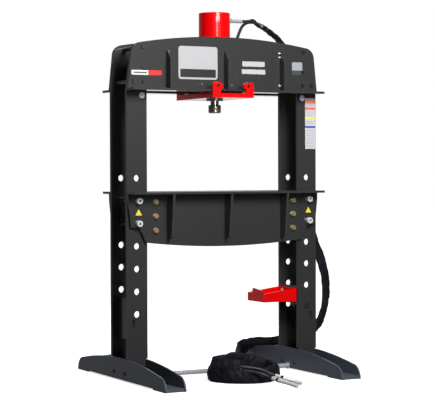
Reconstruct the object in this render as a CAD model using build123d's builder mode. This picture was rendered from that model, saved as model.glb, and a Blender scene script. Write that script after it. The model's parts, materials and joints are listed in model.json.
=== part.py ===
from build123d import *
import os
from math import cos, pi, radians, tan

# Hydraulic shop press: two slotted-plate uprights on channel feet, an arched head that carries a
# rolling cylinder carriage, a height-adjustable bed on four pins, and hoses in a fabric sleeve.
# Millimetres. X runs across the frame, Y from front to back, Z up. The origin is on the floor,
# at the middle of the frame.

os.makedirs("parts", exist_ok=True)

# ---- driving dimensions -------------------------------------------------------------------

frame_half_width = 551.0      # middle of the frame to the outer edge of an upright
upright_width = 112.0         # width of an upright plate
plate_thickness = 16.0        # uprights, head plates and bed plates
upright_gap = 176.0           # clear space between the front and rear upright plates
hole_pitch = 114.3            # height step of the bed
first_hole_z = 340.6
hole_count = 7
pin_diameter = 32.0
pin_clearance = 0.5           # radial clearance of a bed pin in its holes
fit_gap = 0.4                 # small gap between bolted faces and loose pieces

foot_half_length = 545.0
foot_height = 115.0
foot_end_height = 72.0
foot_end_inset = 70.0         # from the tip of the foot to where its top edge starts to drop
foot_plate_thickness = 8.0
foot_base_thickness = 10.0
foot_pad_thickness = 6.0
foot_pad_length = 138.0
anchor_hole_radius = 9.0
anchor_hole_inset = 100.0     # from the tip of the foot to its anchor hole

head_bottom_z = 1466.0
head_top_z = 1750.0
head_shoulder_z = 1701.0
head_end_taper = 24.0         # how much narrower the head is at its shoulder than at its foot
head_corner_radius = 56.0
head_bolt_inner_x = frame_half_width - 89
head_bolt_outer_x = frame_half_width - 34
head_bolt_upper_x = frame_half_width - 85
head_bolt_spots = [
    (head_bolt_inner_x, 1511.0),
    (head_bolt_outer_x, 1511.0),
    (head_bolt_inner_x, 1580.0),
    (head_bolt_upper_x, 1685.0),
]
head_bolt_radius = 6.0
upright_top_z = 1596.0
flange_thickness = 12.0
flange_width = 76.0           # how far a head or bed flange stands out from its plate
rib_thickness = 12.0
rib_spacing = 329.0
head_rib_depth = 46.0
head_rib_height = 196.0

bed_bottom_hole = 4           # the holes that carry the bed, counted from the lowest
bed_top_above_hole = 45.0     # flange top above the upper pin
bed_depth = 283.0             # flange top to the lowest point of the bed plate
bed_end_rise = 27.0           # arch of the bed plate's lower edge
bed_gap = 1.0                 # bed plate to upright plate
bed_bolt_x = 400.0
bed_bolt_diameter = 16.0
bed_rib_foot = 50.0           # depth of a bed rib at its lower end

cylinder_diameter = 164.0
bore_diameter = 130.0
cylinder_top_z = 1883.0
cylinder_cap_height = 18.0
rod_diameter = 45.0
ram_stroke = 250.0
running_clearance = 0.05      # radial, rod in gland, piston in bore and rollers on axles
roller_lift = 0.3             # roller tread above the flange it runs on
nose_diameter = 66.0
nose_length = 42.0
nose_bottom_z = 1363.0
nose_bore_diameter = 24.0

carriage_drop = 9.0           # underside of the head flange to the top of the carriage plate
carriage_thickness = 22.0
carriage_half_width = 118.0
bracket_thickness = 12.0
bracket_gap = 3.0             # flange edge to the inside of a carriage bracket
bracket_ear_width = 58.0
bracket_ear_top_z = 1513.0
roller_radius = 19.0
roller_length = 20.0
roller_bore = 12.0
roller_spacing = 176.0        # between the two roller axles of one bracket
hose_diameter = 16.0
sleeve_diameter = 40.0

holder_left_x = 242.0         # free end of the accessory holder
holder_bottom_z = 369.0
holder_left_height = 45.0
holder_right_height = 70.0
holder_wall = 5.0

# ---- sizes that follow --------------------------------------------------------------------

upright_x = frame_half_width - upright_width / 2
inner_edge_x = frame_half_width - upright_width
inner_face_y = upright_gap / 2
outer_face_y = inner_face_y + plate_thickness
hole_radius = pin_diameter / 2 + pin_clearance
hole_heights = [first_hole_z + i * hole_pitch for i in range(hole_count)]
pin_heights = hole_heights[bed_bottom_hole:bed_bottom_hole + 2]
sides = {"left": -1, "right": 1}
ends = {"front": -1, "rear": 1}

foot_floor_z = foot_pad_thickness + foot_base_thickness
foot_inner_width = upright_width - 2 * foot_plate_thickness
head_plate_y = outer_face_y + plate_thickness
flange_edge_y = head_plate_y + flange_width
flange_top_z = head_bottom_z + flange_thickness
head_end_x = frame_half_width - head_end_taper

bed_inner_y = outer_face_y + bed_gap
bed_outer_y = bed_inner_y + plate_thickness
bed_top_z = pin_heights[1] + bed_top_above_hole
bed_bottom_z = bed_top_z - bed_depth
bed_edge_y = bed_outer_y + flange_width

plate_top_z = head_bottom_z - carriage_drop
carriage_bottom_z = plate_top_z - carriage_thickness
bracket_inner_y = flange_edge_y + bracket_gap
bracket_outer_y = bracket_inner_y + bracket_thickness
roller_z = flange_top_z + roller_radius + roller_lift
roller_end_y = flange_edge_y - 1.0
gland_neck_radius = rod_diameter / 2 + 22
cap_joint_z = cylinder_top_z - cylinder_cap_height
cap_plug_height = 8.0         # part of the cap that sits inside the tube
piston_top_gap = 20.0         # cap plug to the piston when the ram is up
piston_height = 45.0
piston_bottom_z = cap_joint_z - cap_plug_height - piston_top_gap - piston_height
spigot_radius = rod_diameter / 2 - 7
mid_corner = cos(radians(45))  # middle of a quarter-circle corner


def save(piece, name):
    """Label a finished part and write it."""
    piece.label = name
    export_step(piece, f"parts/{name}.step")


# ---- feet ---------------------------------------------------------------------------------

def foot_outline():
    """Side view of a foot plate: arched top, round nose and an underside relieved between its pads."""
    shoulder = foot_half_length - foot_end_inset
    pad_start = foot_half_length - foot_pad_length
    with BuildLine() as outline:
        ThreePointArc((-shoulder, foot_end_height), (0, foot_height), (shoulder, foot_end_height))
        for end in (-1, 1):
            ThreePointArc(
                (end * shoulder, foot_end_height),
                (end * (shoulder + foot_end_inset * mid_corner), foot_end_height * mid_corner),
                (end * foot_half_length, 0),
            )
        Polyline(
            (foot_half_length, 0),
            (pad_start, 0),
            (pad_start - foot_pad_thickness, foot_pad_thickness),
            (-pad_start + foot_pad_thickness, foot_pad_thickness),
            (-pad_start, 0),
            (-foot_half_length, 0),
        )
    return outline.edges()


foot_bolt_spots = [(-66.0, 41.0), (66.0, 41.0)]
foot_bolt_radius = 6.0
foot_bolt_head_radius = 11.0
foot_bolt_head_height = 5.0
block_thickness = 12.0
tie_tube_radius = 12.0
tie_tube_bore = 9.0
tie_tube_z = 18.0
tie_collar_radius = 17.0
tie_collar_length = 10.0

foot_edges = foot_outline()
for side_name, sign in sides.items():
    with BuildPart() as foot_plates:
        for plate_x in (frame_half_width - foot_plate_thickness, inner_edge_x):
            start_x = plate_x if sign > 0 else -plate_x - foot_plate_thickness
            with BuildSketch(Plane.YZ.offset(start_x)):
                make_face(foot_edges)
                with Locations(*foot_bolt_spots):
                    Circle(foot_bolt_radius, mode=Mode.SUBTRACT)
            extrude(amount=foot_plate_thickness)
    save(foot_plates.part, f"{side_name}_foot_plates")

# Base plates between the side plates, each with a welded pad and an anchor hole near either end.
anchor_y = foot_half_length - anchor_hole_inset
foot_ends = [(sx * upright_x, sy) for sx in (-1, 1) for sy in (-1, 1)]
with BuildPart() as foot_bases:
    with BuildSketch(Plane.XY.offset(foot_pad_thickness)):
        with Locations((-upright_x, 0), (upright_x, 0)):
            Rectangle(foot_inner_width, 2 * (foot_half_length - foot_plate_thickness))
    extrude(amount=foot_base_thickness)
    with BuildSketch():
        with Locations(*[(x, sy * (foot_half_length - foot_pad_length / 2)) for x, sy in foot_ends]):
            Rectangle(foot_inner_width, foot_pad_length - 2 * foot_plate_thickness)
    extrude(amount=foot_pad_thickness)
    with BuildSketch():
        with Locations(*[(x, sy * anchor_y) for x, sy in foot_ends]):
            Circle(anchor_hole_radius)
    extrude(amount=foot_floor_z, mode=Mode.SUBTRACT)
save(foot_bases.part, "foot_bases")

# Blocks inside the feet, between the uprights, that the foot bolts clamp to.
block_height = foot_height - foot_floor_z - 14
with BuildPart() as foot_blocks:
    for sign in sides.values():
        for wall in (-1, 1):
            block_x = sign * upright_x + wall * (foot_inner_width - block_thickness) / 2
            with BuildSketch(Plane.YZ.offset(block_x - block_thickness / 2)):
                with Locations((0, foot_floor_z + fit_gap + block_height / 2)):
                    Rectangle(upright_gap - 2 * fit_gap, block_height)
                with Locations(*foot_bolt_spots):
                    Circle(foot_bolt_radius, mode=Mode.SUBTRACT)
            extrude(amount=block_thickness)
save(foot_blocks.part, "foot_blocks")

# Button-head bolts through each side plate into its block.
back_plane = Plane(origin=(0, 0, 0), x_dir=(0, -1, 0), z_dir=(-1, 0, 0))
with BuildPart() as foot_bolts:
    for sign in sides.values():
        for wall in (-1, 1):
            face_x = sign * upright_x + wall * upright_width / 2
            head_plane = Plane.YZ if wall > 0 else back_plane
            with BuildSketch(head_plane.offset(wall * face_x)):
                with Locations(*foot_bolt_spots):
                    Circle(foot_bolt_head_radius)
            extrude(amount=foot_bolt_head_height, taper=25)
            with BuildSketch(head_plane.offset(wall * face_x + foot_bolt_head_height)):
                with Locations(*foot_bolt_spots):
                    RegularPolygon(4, 6)
            extrude(amount=-3, mode=Mode.SUBTRACT)
            with BuildSketch(head_plane.offset(wall * face_x)):
                with Locations(*foot_bolt_spots):
                    Circle(foot_bolt_radius - running_clearance)
            extrude(amount=-foot_plate_thickness - block_thickness)
save(foot_bolts.part, "foot_bolts")

with BuildPart() as tie_tube:
    with BuildSketch(Plane.YZ.offset(-inner_edge_x)):
        with Locations((0, tie_tube_z)):
            Circle(tie_tube_radius)
            Circle(tie_tube_bore, mode=Mode.SUBTRACT)
    extrude(amount=2 * inner_edge_x)
    for collar_x in (-inner_edge_x, inner_edge_x - tie_collar_length):
        with BuildSketch(Plane.YZ.offset(collar_x)):
            with Locations((0, tie_tube_z)):
                Circle(tie_collar_radius)
                Circle(tie_tube_bore, mode=Mode.SUBTRACT)
        extrude(amount=tie_collar_length)
save(tie_tube.part, "floor_tie_tube")

# ---- uprights -----------------------------------------------------------------------------

batten_x = upright_x + 22.0
batten_thickness = 10.0
batten_bottom_z = 211.0
batten_top_z = 416.0
batten_slot_z = 294.0
batten_slot_height = 40.0
batten_tab_recess = 10.0      # outer face of the plate to the end of the tab
shoulder_z = foot_height + 1.5


def upright_outline(sign):
    """Front view of an upright plate, narrowed where it drops between the foot's side plates."""
    slope = head_end_taper / (head_shoulder_z - head_bottom_z)
    top_edge_x = frame_half_width - 3 - slope * (upright_top_z - head_bottom_z)
    foot_half = foot_inner_width / 2 - fit_gap
    points = [
        (upright_x - foot_half, foot_floor_z),
        (upright_x + foot_half, foot_floor_z),
        (upright_x + foot_half, shoulder_z),
        (frame_half_width, shoulder_z),
        (frame_half_width, head_bottom_z - 2),
        (top_edge_x, upright_top_z),
        (inner_edge_x, upright_top_z),
        (inner_edge_x, shoulder_z),
        (upright_x - foot_half, shoulder_z),
    ]
    with BuildLine() as outline:
        Polyline(*[(sign * x, z) for x, z in points], close=True)
    return outline.edges()


def xz_plane(y):
    """A plane across the frame whose normal points to the front, through the given Y."""
    return Plane.XZ.offset(-y)


for side_name, sign in sides.items():
    upright_edges = upright_outline(sign)
    for end_name, end in ends.items():
        with BuildPart() as upright:
            with BuildSketch(xz_plane(outer_face_y if end > 0 else -inner_face_y)):
                make_face(upright_edges)
                with Locations(*[(sign * upright_x, z) for z in hole_heights]):
                    Circle(hole_radius, mode=Mode.SUBTRACT)
                with Locations((sign * batten_x, batten_slot_z)):
                    Rectangle(batten_thickness + 1, batten_slot_height + 1, mode=Mode.SUBTRACT)
                with Locations(*[(sign * x, z) for x, z in head_bolt_spots if z < upright_top_z]):
                    Circle(head_bolt_radius + fit_gap, mode=Mode.SUBTRACT)
            extrude(amount=plate_thickness)
        save(upright.part, f"{side_name}_{end_name}_upright")

# A batten ties the two plates of each upright together, with a tab through a slot in each.
with BuildPart() as battens:
    for sign in sides.values():
        with BuildSketch(Plane.YZ.offset(sign * batten_x - batten_thickness / 2)):
            with Locations((0, (batten_bottom_z + batten_top_z) / 2)):
                Rectangle(upright_gap - 2 * fit_gap, batten_top_z - batten_bottom_z)
            with Locations((0, batten_slot_z)):
                Rectangle(2 * (outer_face_y - batten_tab_recess), batten_slot_height)
        extrude(amount=batten_thickness)
save(battens.part, "upright_battens")

# ---- head ---------------------------------------------------------------------------------


def head_outline():
    """Front view of a head plate: straight foot, slightly slanting ends and an arched top."""
    with BuildLine() as outline:
        Polyline(
            (-head_end_x, head_shoulder_z),
            (-frame_half_width, head_bottom_z),
            (frame_half_width, head_bottom_z),
            (head_end_x, head_shoulder_z),
        )
        ThreePointArc(
            (head_end_x, head_shoulder_z), (0, head_top_z), (-head_end_x, head_shoulder_z)
        )
    return outline.edges()


head_edges = head_outline()
for end_name, end in ends.items():
    with BuildPart() as head_plate:
        with BuildSketch(xz_plane(head_plate_y if end > 0 else -outer_face_y)):
            make_face(head_edges)
            fillet(vertices().group_by(Axis.Y)[-1], head_corner_radius)
            with Locations(*[(side * x, z) for side in (-1, 1) for x, z in head_bolt_spots]):
                Circle(head_bolt_radius + fit_gap, mode=Mode.SUBTRACT)
        extrude(amount=plate_thickness)
    save(head_plate.part, f"head_{end_name}_plate")


def flange_pair(inner_y, top_z):
    """Front and rear flange plates along the whole frame, standing out from the head or bed plates."""
    with BuildPart() as flanges:
        with BuildSketch(Plane.XY.offset(top_z)):
            with Locations(*[(0, end * (inner_y + flange_width / 2)) for end in (-1, 1)]):
                Rectangle(2 * frame_half_width, flange_width)
        extrude(amount=-flange_thickness)
    return flanges.part


def rib_rows(inner_y, outline):
    """Three upright ribs on each head or bed plate; outline lists (stand-out, height) corners."""
    with BuildPart() as ribs:
        for end in ends.values():
            for x in (-rib_spacing, 0, rib_spacing):
                with BuildSketch(Plane.YZ.offset(x - rib_thickness / 2)):
                    with BuildLine():
                        Polyline(*[(end * (inner_y + depth), z) for depth, z in outline], close=True)
                    make_face()
                extrude(amount=rib_thickness)
    return ribs.part


save(flange_pair(head_plate_y, flange_top_z), "head_flanges")

head_rib_outline = [
    (0, flange_top_z),
    (head_rib_depth, flange_top_z),
    (head_rib_depth, flange_top_z + head_rib_height - head_rib_depth),
    (8, flange_top_z + head_rib_height),
    (0, flange_top_z + head_rib_height),
]
save(rib_rows(head_plate_y, head_rib_outline), "head_ribs")


head_bolt_places = [(side * x, z) for side in (-1, 1) for x, z in head_bolt_spots]
bolt_head_radius = 10.5
bolt_head_height = 6.0
bolt_nut_height = 10.0
bolt_socket_radius = 3.7
with BuildPart() as head_bolts:
    with BuildSketch(xz_plane(-head_plate_y)):
        with Locations(*head_bolt_places):
            Circle(bolt_head_radius)
    extrude(amount=bolt_head_height, taper=20)
    with BuildSketch(xz_plane(-head_plate_y - bolt_head_height)):
        with Locations(*head_bolt_places):
            RegularPolygon(bolt_socket_radius, 6)
    extrude(amount=-bolt_head_height / 2, mode=Mode.SUBTRACT)
    with BuildSketch(xz_plane(head_plate_y + bolt_nut_height + 2)):
        with Locations(*head_bolt_places):
            Circle(head_bolt_radius)
    extrude(amount=2 * head_plate_y + bolt_nut_height + 2)
    with BuildSketch(xz_plane(head_plate_y + bolt_nut_height)):
        with Locations(*head_bolt_places):
            RegularPolygon(bolt_head_radius, 6)
    extrude(amount=bolt_nut_height)
save(head_bolts.part, "head_bolts")

# ---- bed ----------------------------------------------------------------------------------

bed_shoulder_z = pin_heights[0] - 28.0
bed_bolt_zs = [pin_heights[1] - 6, (pin_heights[0] + pin_heights[1]) / 2 - 20, pin_heights[0] - 36]
bed_foot_x = frame_half_width - 99.0
bed_bolt_places = [(side * bed_bolt_x, z) for side in (-1, 1) for z in bed_bolt_zs]
pin_places = [(side * upright_x, z) for side in (-1, 1) for z in pin_heights]


def bed_outline():
    """Front view of a bed plate: ears over the pins and a shallow arch along the lower edge."""
    right = [
        (bed_foot_x, bed_bottom_z + bed_end_rise),
        (bed_foot_x + 34, bed_shoulder_z),
        (frame_half_width - 14, bed_shoulder_z + 12),
        (frame_half_width - 1, bed_top_z - 45),
        (frame_half_width, bed_top_z),
    ]
    with BuildLine() as outline:
        Polyline(*right, *[(-x, z) for x, z in reversed(right)])
        ThreePointArc(
            (-bed_foot_x, bed_bottom_z + bed_end_rise),
            (0, bed_bottom_z),
            (bed_foot_x, bed_bottom_z + bed_end_rise),
        )
    return outline.edges()


bed_edges = bed_outline()
for end_name, end in ends.items():
    with BuildPart() as bed_plate:
        with BuildSketch(xz_plane(bed_outer_y if end > 0 else -bed_inner_y)):
            make_face(bed_edges)
            with Locations(*pin_places):
                Circle(hole_radius, mode=Mode.SUBTRACT)
            with Locations(*bed_bolt_places):
                Circle(bed_bolt_diameter / 2 + fit_gap, mode=Mode.SUBTRACT)
        extrude(amount=plate_thickness)
    save(bed_plate.part, f"bed_{end_name}_plate")

save(flange_pair(bed_outer_y, bed_top_z), "bed_flanges")

bed_under_z = bed_top_z - flange_thickness
bed_rib_outline = [
    (0, bed_under_z),
    (flange_width - 2, bed_under_z),
    (bed_rib_foot, bed_bottom_z + 56),
    (bed_rib_foot - 12, bed_bottom_z + 44),
    (0, bed_bottom_z + 44),
]
save(rib_rows(bed_outer_y, bed_rib_outline), "bed_ribs")

# Bed bolts: hexagon heads on washers at the front, washers and nuts at the rear.
bed_bolt_radius = bed_bolt_diameter / 2
bed_washer_radius = bed_bolt_diameter * 0.92
bed_washer_height = 3.0
bed_hex_radius = bed_bolt_diameter * 0.87
bed_head_height = 11.0
with BuildPart() as bed_bolts:
    with BuildSketch(xz_plane(-bed_outer_y - bed_washer_height)):
        with Locations(*bed_bolt_places):
            RegularPolygon(bed_hex_radius, 6)
    extrude(amount=bed_head_height)
    chamfer(faces().sort_by(Axis.Y)[0:6].edges(), 1.5)
    with BuildSketch(xz_plane(-bed_outer_y - bed_washer_height)):
        with Locations(*bed_bolt_places):
            Circle(bed_bolt_radius)
    extrude(amount=-2 * bed_outer_y - 2 * bed_washer_height - bed_head_height - 4)
save(bed_bolts.part, "bed_bolts")

with BuildPart() as bed_washers:
    for start_y in (-bed_outer_y, bed_outer_y + bed_washer_height):
        with BuildSketch(xz_plane(start_y)):
            with Locations(*bed_bolt_places):
                Circle(bed_washer_radius)
                Circle(bed_bolt_radius + fit_gap, mode=Mode.SUBTRACT)
        extrude(amount=bed_washer_height)
save(bed_washers.part, "bed_washers")

with BuildPart() as bed_nuts:
    with BuildSketch(xz_plane(bed_outer_y + bed_washer_height + bed_head_height)):
        with Locations(*bed_bolt_places):
            RegularPolygon(bed_hex_radius, 6)
            Circle(bed_bolt_radius + running_clearance, mode=Mode.SUBTRACT)
    extrude(amount=bed_head_height)
save(bed_nuts.part, "bed_nuts")

# Tubes that hold the head plates and the bed plates apart, one round each through bolt.
spacer_wall = 5.0
spacers = []
for x, z in head_bolt_places:
    spacers.append((x, z, head_bolt_radius, inner_face_y if z < upright_top_z else outer_face_y))
spacers += [(x, z, bed_bolt_radius, bed_inner_y) for x, z in bed_bolt_places]
with BuildPart() as spacer_tubes:
    for x, z, bolt_radius, reach in spacers:
        with BuildSketch(xz_plane(reach)):
            with Locations((x, z)):
                Circle(bolt_radius + fit_gap + spacer_wall)
                Circle(bolt_radius + fit_gap, mode=Mode.SUBTRACT)
        extrude(amount=2 * reach)
save(spacer_tubes.part, "spacer_tubes")

# Four bed pins, drawn out to the front; each has a turned groove and a tapped hole in its end.
pin_head_y = bed_outer_y + 24.0
pin_socket_radius = 7.0
pin_tail_y = bed_outer_y + 8.0
pin_number = 0
for x, z in pin_places:
    pin_number += 1
    with BuildPart() as bed_pin:
        with BuildSketch(xz_plane(pin_tail_y)):
            with Locations((x, z)):
                Circle(pin_diameter / 2)
        extrude(amount=pin_head_y + pin_tail_y)
        chamfer(edges().filter_by(GeomType.CIRCLE).group_by(Axis.Y)[0], 2.5)
        chamfer(edges().filter_by(GeomType.CIRCLE).group_by(Axis.Y)[-1], 3)
        with BuildSketch(xz_plane(-pin_head_y)):
            with Locations((x, z)):
                Circle(pin_socket_radius)
        extrude(amount=-25, mode=Mode.SUBTRACT)
        with BuildSketch(xz_plane(-pin_head_y + 12)):
            with Locations((x, z)):
                Circle(pin_diameter / 2 + 1)
                Circle(pin_diameter / 2 - 1.5, mode=Mode.SUBTRACT)
        extrude(amount=3, mode=Mode.SUBTRACT)
    save(bed_pin.part, f"bed_pin_{pin_number}")

# ---- carriage -----------------------------------------------------------------------------

side_wall_top_z = head_bottom_z - 2.0
bracket_bar_top_z = plate_top_z
ear_inner_x = carriage_half_width - bracket_ear_width
carriage_inner_x = carriage_half_width - bracket_thickness
tie_bar_radius = 6.0
tie_bar_z = bracket_bar_top_z + 14.0
axle_radius = roller_bore / 2 - running_clearance
axle_y_inner = roller_end_y - roller_length

with BuildPart() as carriage_plate:
    with BuildSketch(Plane.XY.offset(carriage_bottom_z)):
        Rectangle(2 * carriage_inner_x, 2 * bracket_inner_y)
        Circle(gland_neck_radius + running_clearance, mode=Mode.SUBTRACT)
    extrude(amount=carriage_thickness)
save(carriage_plate.part, "carriage_plate")

with BuildPart() as carriage_walls:
    for wall_x in (-carriage_half_width, carriage_inner_x):
        with BuildSketch(Plane.YZ.offset(wall_x)):
            with Locations((0, (carriage_bottom_z + side_wall_top_z) / 2)):
                Rectangle(2 * bracket_inner_y, side_wall_top_z - carriage_bottom_z)
        extrude(amount=bracket_thickness)
save(carriage_walls.part, "carriage_walls")


def bracket_outline():
    """Front view of a carriage bracket: a low bar with a hooked ear at each end."""
    ear_foot_z = bracket_bar_top_z
    mid_z = roller_z - 12.0
    right = [
        (ear_inner_x + 14, ear_foot_z),
        (ear_inner_x + 14, mid_z - 8),
        (ear_inner_x, mid_z),
        (ear_inner_x, roller_z + 4),
        (ear_inner_x + 18, bracket_ear_top_z),
        (carriage_half_width, bracket_ear_top_z),
        (carriage_half_width, carriage_bottom_z),
    ]
    with BuildLine() as outline:
        Polyline(*right, *[(-x, z) for x, z in reversed(right)], close=True)
    return outline.edges()


axle_places = [(side * roller_spacing / 2, roller_z) for side in (-1, 1)]
bracket_edges = bracket_outline()
for end_name, end in ends.items():
    with BuildPart() as bracket:
        with BuildSketch(xz_plane(bracket_outer_y if end > 0 else -bracket_inner_y)):
            make_face(bracket_edges)
            fillet(vertices().group_by(Axis.Y)[-1], 12)
            with Locations(*axle_places):
                Circle(axle_radius + fit_gap, mode=Mode.SUBTRACT)
            with Locations(*[(side * ear_inner_x, tie_bar_z) for side in (-1, 1)]):
                Circle(tie_bar_radius + fit_gap, mode=Mode.SUBTRACT)
        extrude(amount=bracket_thickness)
    save(bracket.part, f"carriage_{end_name}_bracket")

# Roller axles: shoulder bolts through the bracket ears, with a nut and washer inside each roller.
axle_head_radius = 9.0
axle_head_height = 7.0
rear_plane = Plane(origin=(0, 0, 0), x_dir=(-1, 0, 0), z_dir=(0, 1, 0))
with BuildPart() as roller_axles:
    for end in ends.values():
        axle_plane = xz_plane(0) if end < 0 else rear_plane
        with BuildSketch(axle_plane.offset(bracket_outer_y)):
            with Locations(*axle_places):
                RegularPolygon(axle_head_radius, 6)
        extrude(amount=axle_head_height)
        with BuildSketch(axle_plane.offset(bracket_outer_y)):
            with Locations(*axle_places):
                Circle(axle_radius)
        extrude(amount=axle_y_inner - bracket_outer_y - 4)
        with BuildSketch(axle_plane.offset(axle_y_inner - 1)):
            with Locations(*axle_places):
                Circle(axle_radius + 3)
        extrude(amount=-3)
save(roller_axles.part, "roller_axles")

for end_name, end in ends.items():
    for side_name, sign in sides.items():
        with BuildPart() as roller:
            with BuildSketch(xz_plane(roller_end_y if end > 0 else -axle_y_inner)):
                with Locations((sign * roller_spacing / 2, roller_z)):
                    Circle(roller_radius)
                    Circle(roller_bore / 2, mode=Mode.SUBTRACT)
            extrude(amount=roller_length)
            chamfer(edges().filter_by(GeomType.CIRCLE).group_by(SortBy.LENGTH)[-1], 1.5)
        save(roller.part, f"{end_name}_{side_name}_roller")

with BuildPart() as tie_bars:
    for end in ends.values():
        bar_y = end * (bracket_inner_y + bracket_thickness / 2)
        with BuildSketch(Plane.YZ.offset(-ear_inner_x + 1)):
            with Locations((bar_y, tie_bar_z)):
                Circle(tie_bar_radius - 0.5)
        extrude(amount=2 * ear_inner_x - 2)
save(tie_bars.part, "carriage_tie_bars")

# ---- cylinder and ram ---------------------------------------------------------------------

port_radius = 6.0
gland_height = 46.0
cap_port_z = cap_joint_z - cap_plug_height - port_radius - 3
rod_port_z = plate_top_z + gland_height + port_radius + 7
nose_top_z = nose_bottom_z + nose_length
piston_radius = bore_diameter / 2 - running_clearance

with BuildPart() as cylinder_tube:
    with BuildSketch(Plane.XY.offset(plate_top_z)):
        Circle(cylinder_diameter / 2)
        Circle(bore_diameter / 2, mode=Mode.SUBTRACT)
    extrude(amount=cap_joint_z - plate_top_z)
    for port_z in (rod_port_z, cap_port_z):
        with BuildSketch(Plane.YZ.offset(bore_diameter / 2 - 5)):
            with Locations((0, port_z)):
                Circle(port_radius)
        extrude(amount=cylinder_diameter / 2, mode=Mode.SUBTRACT)
save(cylinder_tube.part, "cylinder_tube")

cap_groove = 1.5
with BuildPart() as cylinder_cap:
    with BuildSketch(Plane.XY.offset(cap_joint_z)):
        Circle(cylinder_diameter / 2 - cap_groove)
    extrude(amount=2 * cap_groove)
    with BuildSketch(Plane.XY.offset(cap_joint_z + 2 * cap_groove)):
        Circle(cylinder_diameter / 2)
    extrude(amount=cylinder_cap_height - 2 * cap_groove)
    chamfer(edges().group_by(Axis.Z)[-1], 3)
    with BuildSketch(Plane.XY.offset(cap_joint_z - cap_plug_height)):
        Circle(piston_radius)
    extrude(amount=cap_plug_height)
save(cylinder_cap.part, "cylinder_cap")

gland_bottom_z = carriage_bottom_z - 9.0
rod_groove_z = plate_top_z + 12.0
rod_groove_depth = 5.0
rod_groove_height = 8.0
seal_gap = 0.5                # axial gap of a seal in its groove
with BuildPart() as gland:
    with BuildSketch(Plane.XY.offset(plate_top_z)):
        Circle(piston_radius)
    extrude(amount=gland_height)
    with BuildSketch(Plane.XY.offset(gland_bottom_z)):
        Circle(gland_neck_radius)
    extrude(amount=plate_top_z - gland_bottom_z)
    with BuildSketch(Plane.XY.offset(gland_bottom_z)):
        Circle(rod_diameter / 2 + running_clearance)
    extrude(amount=plate_top_z - gland_bottom_z + gland_height, mode=Mode.SUBTRACT)
    with BuildSketch(Plane.XY.offset(rod_groove_z)):
        Circle(rod_diameter / 2 + rod_groove_depth)
    extrude(amount=rod_groove_height, mode=Mode.SUBTRACT)
save(gland.part, "cylinder_gland")

with BuildPart() as rod_seal:
    with BuildSketch(Plane.XY.offset(rod_groove_z + seal_gap)):
        Circle(rod_diameter / 2 + rod_groove_depth - running_clearance)
        Circle(rod_diameter / 2 + running_clearance, mode=Mode.SUBTRACT)
    extrude(amount=rod_groove_height - 2 * seal_gap)
save(rod_seal.part, "rod_seal")

piston_groove_depth = 6.0
piston_groove_height = 10.0
piston_groove_z = piston_bottom_z + (piston_height - piston_groove_height) / 2
with BuildPart() as piston:
    with BuildSketch(Plane.XY.offset(piston_bottom_z)):
        Circle(piston_radius)
        Circle(spigot_radius, mode=Mode.SUBTRACT)
    extrude(amount=piston_height)
    with BuildSketch(Plane.XY.offset(piston_groove_z)):
        Circle(piston_radius + 1)
        Circle(piston_radius - piston_groove_depth, mode=Mode.SUBTRACT)
    extrude(amount=piston_groove_height, mode=Mode.SUBTRACT)
save(piston.part, "piston")

with BuildPart() as piston_seal:
    with BuildSketch(Plane.XY.offset(piston_groove_z + seal_gap)):
        Circle(piston_radius)
        Circle(piston_radius - piston_groove_depth + running_clearance, mode=Mode.SUBTRACT)
    extrude(amount=piston_groove_height - 2 * seal_gap)
save(piston_seal.part, "piston_seal")

nose_socket = 18.0
piston_nut_height = 8.0
spigot_top_z = piston_bottom_z + piston_height + piston_nut_height + 2
with BuildPart() as ram_rod:
    with BuildSketch(Plane.XY.offset(nose_top_z)):
        Circle(rod_diameter / 2)
    extrude(amount=piston_bottom_z - nose_top_z)
    with BuildSketch(Plane.XY.offset(nose_top_z - nose_socket)):
        Circle(spigot_radius)
    extrude(amount=spigot_top_z - nose_top_z + nose_socket)
save(ram_rod.part, "ram_rod")

with BuildPart() as piston_nut:
    with BuildSketch(Plane.XY.offset(piston_bottom_z + piston_height)):
        RegularPolygon(spigot_radius * 1.7, 6)
        Circle(spigot_radius, mode=Mode.SUBTRACT)
    extrude(amount=piston_nut_height)
save(piston_nut.part, "piston_nut")

nose_screw_z = nose_top_z - nose_socket / 2
nose_screw_radius = 4.0
with BuildPart() as ram_nose:
    with BuildSketch(Plane.XY.offset(nose_bottom_z)):
        Circle(nose_diameter / 2)
    extrude(amount=nose_length)
    chamfer(edges().group_by(Axis.Z)[0], 4)
    chamfer(edges().group_by(Axis.Z)[-1], 3)
    with BuildSketch(Plane.XY.offset(nose_top_z)):
        Circle(spigot_radius)
    extrude(amount=-nose_socket, mode=Mode.SUBTRACT)
    with BuildSketch(Plane.XY.offset(nose_bottom_z)):
        Circle(nose_bore_diameter / 2)
    extrude(amount=nose_length - nose_socket - 4, mode=Mode.SUBTRACT)
    with BuildSketch(Plane.YZ.offset(spigot_radius / 2)):
        with Locations((0, nose_screw_z)):
            Circle(nose_screw_radius)
    extrude(amount=nose_diameter / 2, mode=Mode.SUBTRACT)
save(ram_nose.part, "ram_nose")

with BuildPart() as nose_screw:
    with BuildSketch(Plane.YZ.offset(spigot_radius + 0.3)):
        with Locations((0, nose_screw_z)):
            Circle(nose_screw_radius - running_clearance)
    extrude(amount=nose_diameter / 2 - spigot_radius - 2)
    with BuildSketch(Plane.YZ.offset(nose_diameter / 2 - 1.7)):
        with Locations((0, nose_screw_z)):
            RegularPolygon(2.3, 6)
    extrude(amount=-5, mode=Mode.SUBTRACT)
save(nose_screw.part, "nose_screw")

# ---- hydraulic fittings and hoses ---------------------------------------------------------

port_face_x = bore_diameter / 2 + 10.0
cap_fitting_end_x = 160.0
rod_fitting_x = 118.0
rod_fitting_top_z = rod_port_z + 52.0
fitting_radius = 11.0

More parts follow.
